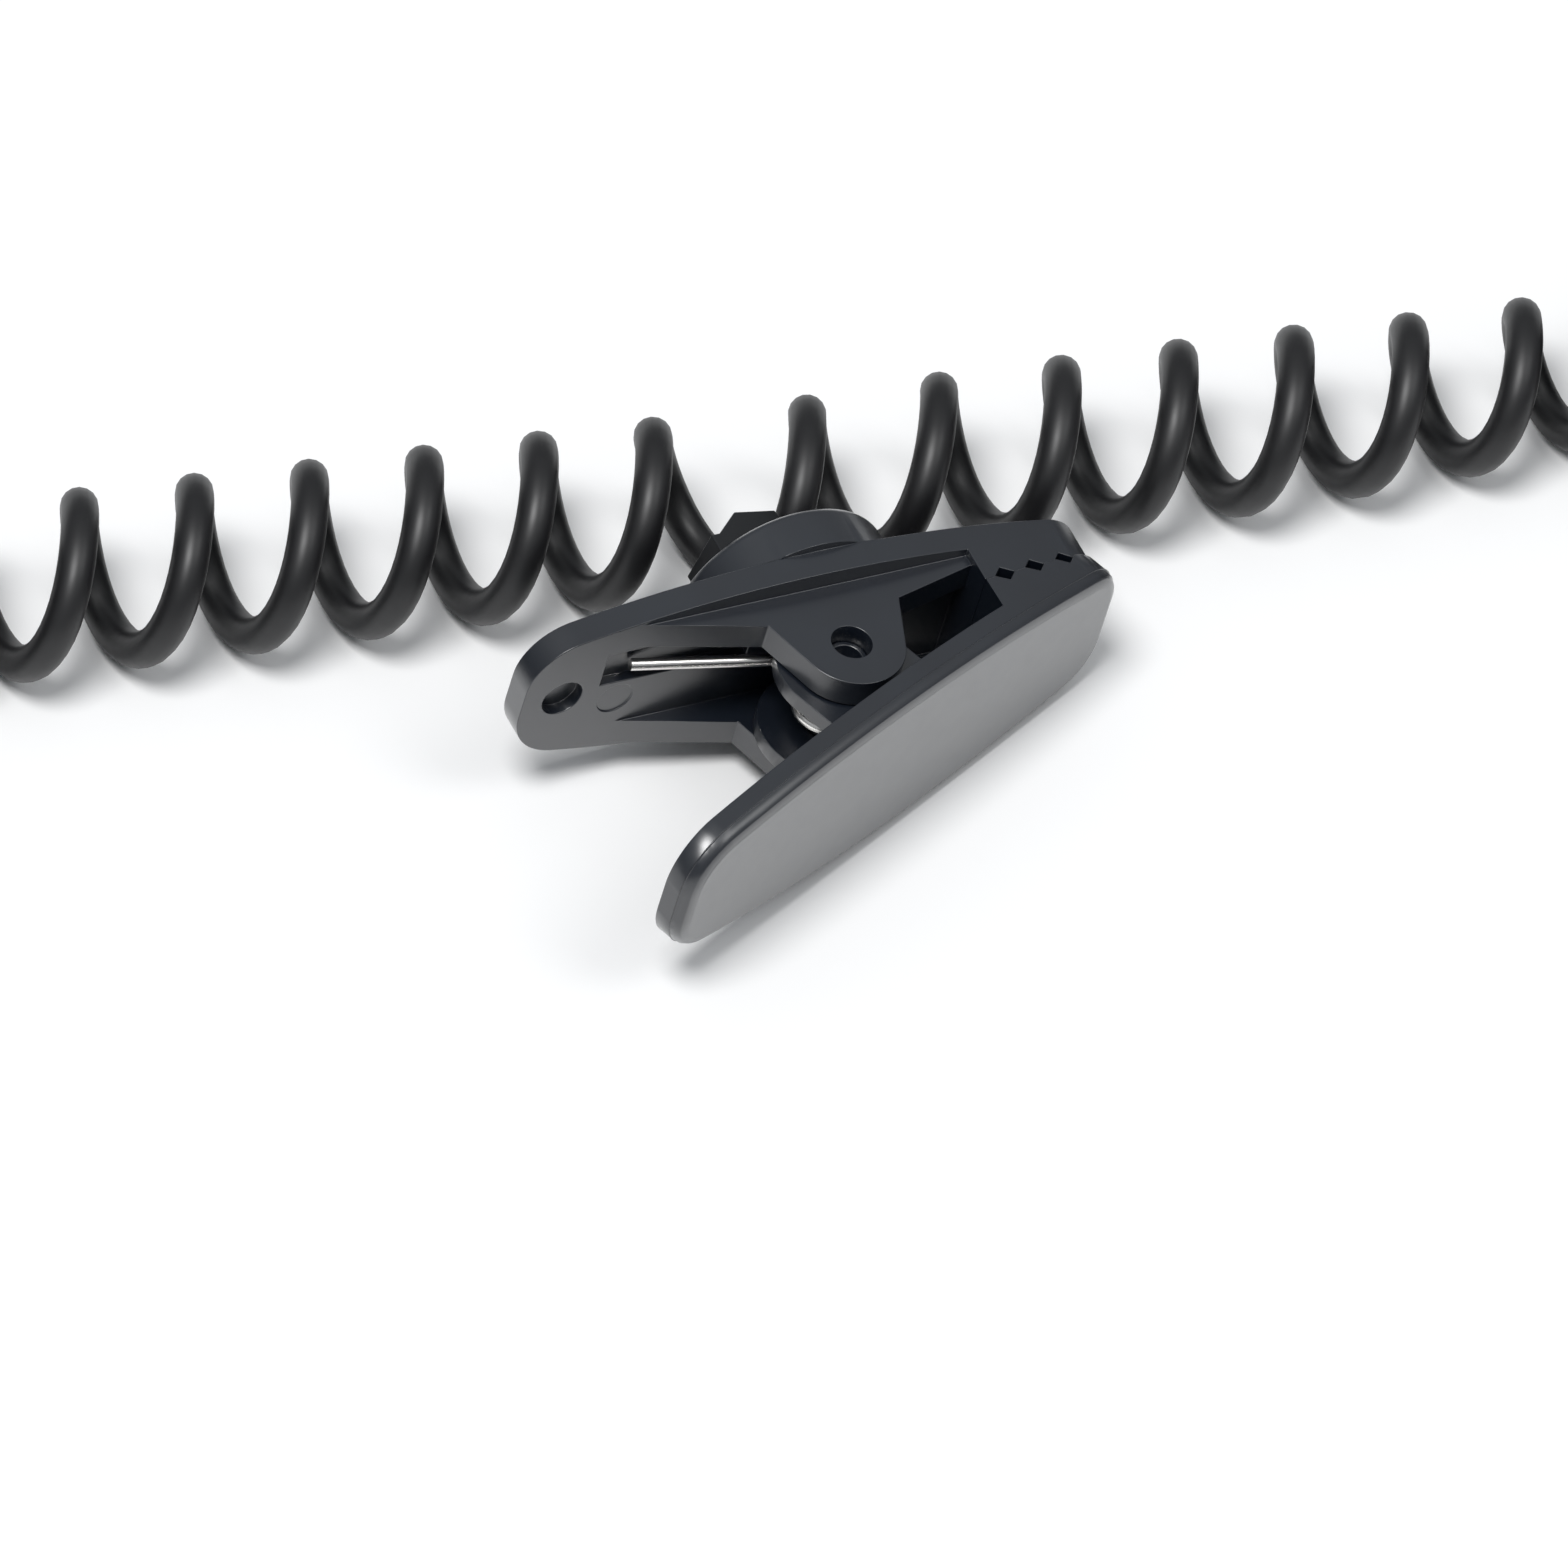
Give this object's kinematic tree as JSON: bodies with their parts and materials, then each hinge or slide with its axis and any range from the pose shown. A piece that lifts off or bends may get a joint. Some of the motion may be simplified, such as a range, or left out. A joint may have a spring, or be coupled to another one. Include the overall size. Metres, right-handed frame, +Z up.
{
  "type": "lavalier microphone lead with spring clip",
  "caption": "Black curly microphone lead held in the swivelling grip of a spring garment clip, with a small capsule microphone and a 3.5 mm plug on its ends.",
  "frame": {"origin": "lowest point of the swivel disc's rim, at the middle of its thickness, where the clip stands on the table", "axes": "+X along the curly cord towards the microphone, +Y from the clip to the cord, +Z up; the clip lies on its side with its hinge upright"},
  "size_m": [0.2536, 0.0413, 0.0146],
  "materials": {
    "jaw_plastic": "satin, lightly grained",
    "pin_plastic": "satin",
    "grip_plastic": "satin",
    "spring_steel": "bright drawn wire",
    "cord_pvc": "matte soft PVC",
    "boot_rubber": "matte",
    "mic_shell": "satin black",
    "mesh_cloth": "fine acoustic cloth",
    "capsule_can": "satin",
    "board": "matte",
    "copper": "plain",
    "plug_shell": "satin",
    "contact": "bright plated",
    "band_plastic": "gloss"
  },
  "bodies": {
    "cord": {"cable_grip": "grip_plastic", "curly_cord": "cord_pvc", "mic_lead": "cord_pvc", "mic_boot": "boot_rubber", "mic_housing": "mic_shell", "mic_cap": "mic_shell", "mic_mesh": "mesh_cloth", "mic_capsule": "capsule_can", "capsule_gasket": "boot_rubber", "capsule_board": "board", "core_wires": "copper", "plug_lead": "cord_pvc", "plug_boot": "boot_rubber", "plug_shell": "plug_shell", "plug_sleeve": "contact", "plug_ring": "contact", "plug_tip": "contact", "plug_bands": "band_plastic", "plug_rod": "copper"},
    "clip": {"back_jaw": "jaw_plastic", "hinge_pin": "pin_plastic", "jaw_spring": "spring_steel"},
    "jaw": {"front_jaw": "jaw_plastic"}
  },
  "joints": [
    {"name": "clip_swivel", "type": "hinge", "parent": "cord", "child": "clip", "pos_m": [0, 0, 0.0073], "axis": [-0.1599, 0.9871, 0], "continuous": true},
    {"name": "jaw_open", "type": "hinge", "parent": "clip", "child": "jaw", "pos_m": [0.00067, -0.00817, 0.00736], "axis": [-0.0878, -0.0142, -0.996], "range_deg": [0, 38], "stiffness_Nm_per_rad": 0.03, "springref_deg": -6.88, "deforming": ["jaw_spring"]}
  ]
}
